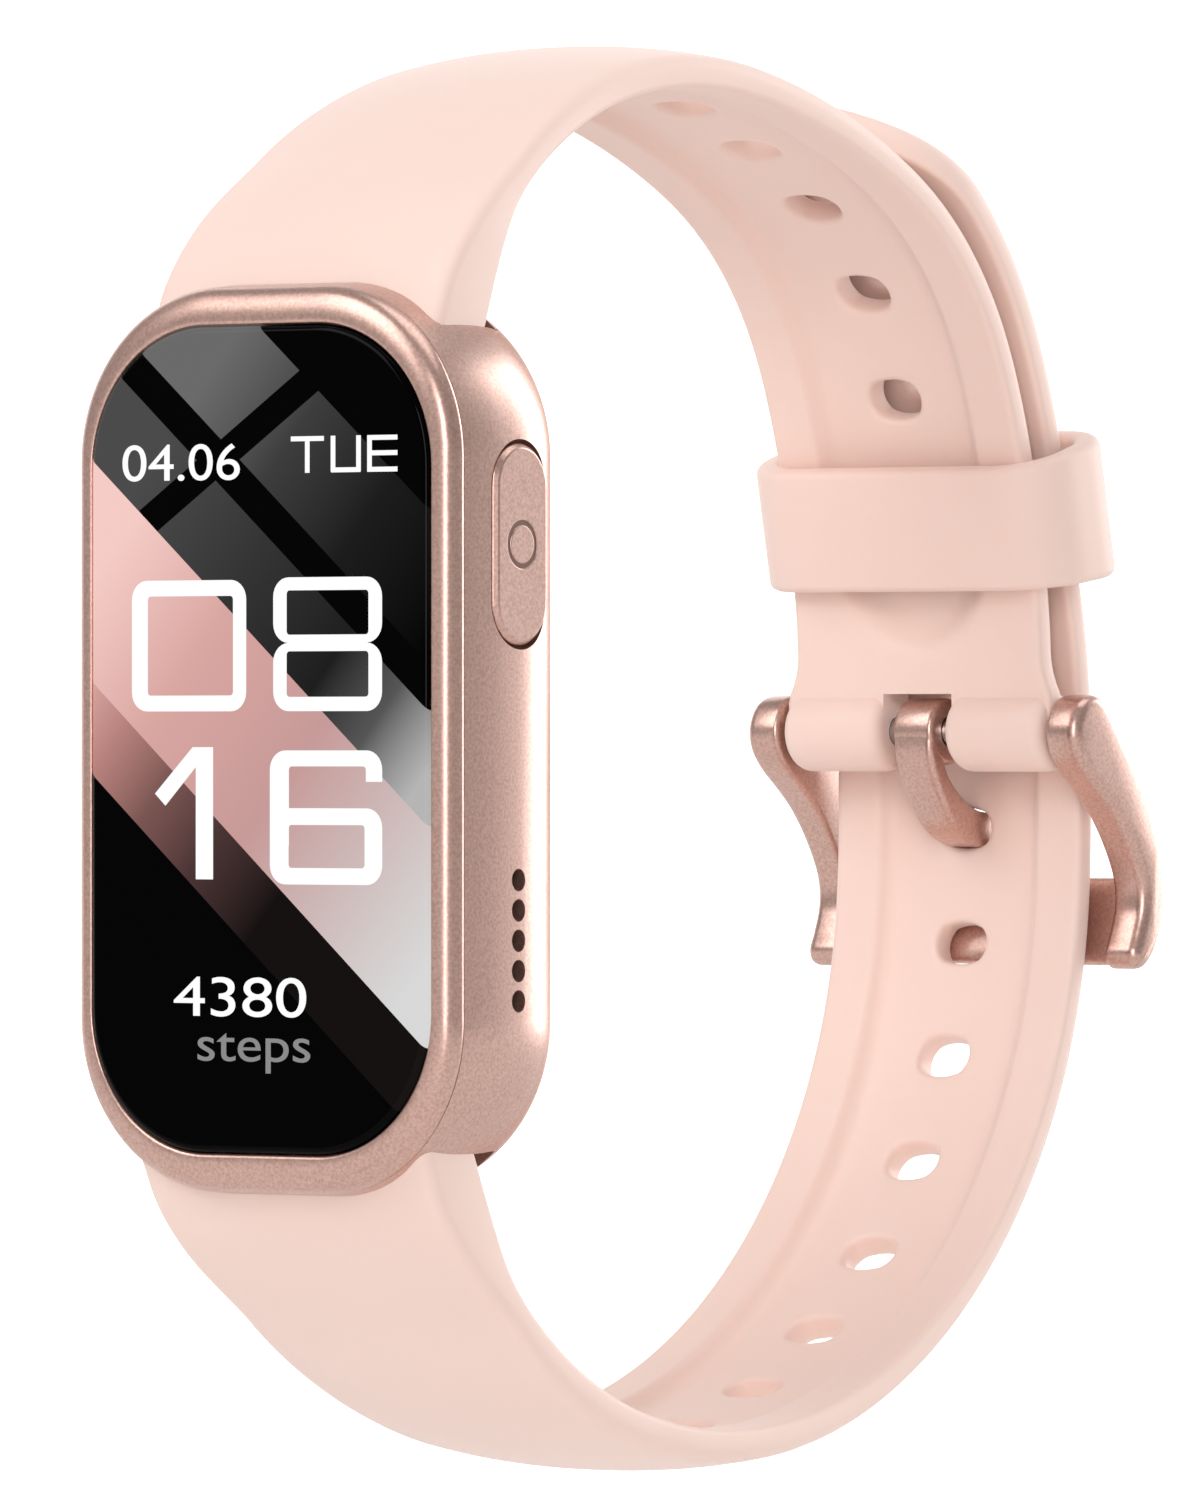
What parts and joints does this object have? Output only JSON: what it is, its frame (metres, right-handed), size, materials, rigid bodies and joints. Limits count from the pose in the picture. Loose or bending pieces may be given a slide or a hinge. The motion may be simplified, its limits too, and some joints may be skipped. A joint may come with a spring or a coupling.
{
  "type": "fitness tracker band",
  "caption": "Slim rounded smart band: glass-fronted case with side button on a closed soft strap with keeper loop and pin buckle.",
  "frame": {"origin": "centre of the wrist opening, midway between the case's back and the strap's far side", "axes": "+X towards the side button (3 o'clock) and along the wrist, +Y from the screen through the wrist to the buckle, +Z towards 12 o'clock"},
  "size_m": [0.0241, 0.0632, 0.0721],
  "materials": {
    "rose_gold_case": "satin pearl",
    "rose_gold_trim": "satin",
    "black_glass": "gloss",
    "display": "lit panel",
    "steel": "plain",
    "circuit_board": "solder mask",
    "seal": "soft",
    "black_plastic": "fine matt",
    "flex_film": "film",
    "battery_foil": "foil",
    "led_plastic": "clear resin",
    "gold_contact": "gold plate",
    "sensor_glass": "gloss",
    "pink_silicone": "matt soft-touch"
  },
  "bodies": {
    "root": {"antenna_strip": "flex_film", "back_cover": "black_plastic", "back_gasket": "seal", "battery_cell": "battery_foil", "board_screws": "steel", "buckle_bar_spring": "steel", "buckle_bar_tube": "steel", "buckle_strap": "pink_silicone", "button_seal": "seal", "case_housing": "rose_gold_case", "charging_contacts": "gold_contact", "cover_glass": "black_glass", "display_flex": "flex_film", "display_panel": "display", "front_bezel": "rose_gold_case", "hole_strap": "pink_silicone", "inner_chassis": "steel", "lower_bar_spring": "steel", "lower_bar_tube": "steel", "main_board": "circuit_board", "sensor_board": "circuit_board", "sensor_leds": "led_plastic", "sensor_lens": "sensor_glass", "shield_can": "steel", "speaker_mesh": "steel", "speaker_unit": "black_plastic", "tact_switch": "black_plastic", "upper_bar_spring": "steel", "upper_bar_tube": "steel", "vibration_motor": "steel"},
    "button": {"button_cap": "rose_gold_trim", "button_stem": "steel", "button_clip": "steel"},
    "keeper": {"keeper_loop": "pink_silicone"},
    "buckle_frame": {"buckle_frame": "rose_gold_trim"},
    "buckle_tang": {"buckle_tang": "rose_gold_trim"},
    "upper_bar_left_tip": {"upper_bar_left_tip": "steel"},
    "upper_bar_right_tip": {"upper_bar_right_tip": "steel"},
    "lower_bar_left_tip": {"lower_bar_left_tip": "steel"},
    "lower_bar_right_tip": {"lower_bar_right_tip": "steel"},
    "buckle_bar_left_tip": {"buckle_bar_left_tip": "steel"},
    "buckle_bar_right_tip": {"buckle_bar_right_tip": "steel"}
  },
  "joints": [
    {"name": "button_press", "type": "slide", "parent": "root", "child": "button", "axis": [-1, 0, 0], "range_m": [0, 0.00035], "stiffness_N_per_m": 900, "springref_m": -0.0004},
    {"name": "keeper_slide", "type": "hinge", "parent": "root", "child": "keeper", "pos_m": [0, -0.02333, 0.00167], "axis": [1, 0, 0], "range_deg": [-2.5, 3.5]},
    {"name": "buckle_frame_swing", "type": "hinge", "parent": "root", "child": "buckle_frame", "pos_m": [0, 0.0232, 0.00047], "axis": [1, 0, 0], "range_deg": [0, 70]},
    {"name": "buckle_tang_swing", "type": "hinge", "parent": "root", "child": "buckle_tang", "pos_m": [0, 0.0232, 0.00047], "axis": [1, 0, 0], "range_deg": [-1.5, 1.5]},
    {"name": "upper_bar_left_tip_slide", "type": "slide", "parent": "root", "child": "upper_bar_left_tip", "axis": [1, 0, 0], "range_m": [0, 0.0011], "stiffness_N_per_m": 150, "springref_m": -0.0006, "deforming": ["upper_bar_spring"]},
    {"name": "upper_bar_right_tip_slide", "type": "slide", "parent": "root", "child": "upper_bar_right_tip", "axis": [-1, 0, 0], "range_m": [0, 0.0011], "stiffness_N_per_m": 150, "springref_m": -0.0006},
    {"name": "lower_bar_left_tip_slide", "type": "slide", "parent": "root", "child": "lower_bar_left_tip", "axis": [1, 0, 0], "range_m": [0, 0.0011], "stiffness_N_per_m": 150, "springref_m": -0.0006, "deforming": ["lower_bar_spring"]},
    {"name": "lower_bar_right_tip_slide", "type": "slide", "parent": "root", "child": "lower_bar_right_tip", "axis": [-1, 0, 0], "range_m": [0, 0.0011], "stiffness_N_per_m": 150, "springref_m": -0.0006},
    {"name": "buckle_bar_left_tip_slide", "type": "slide", "parent": "root", "child": "buckle_bar_left_tip", "axis": [1, 0, 0], "range_m": [0, 0.0011], "stiffness_N_per_m": 150, "springref_m": -0.0006, "deforming": ["buckle_bar_spring"]},
    {"name": "buckle_bar_right_tip_slide", "type": "slide", "parent": "root", "child": "buckle_bar_right_tip", "axis": [-1, 0, 0], "range_m": [0, 0.0011], "stiffness_N_per_m": 150, "springref_m": -0.0006}
  ]
}
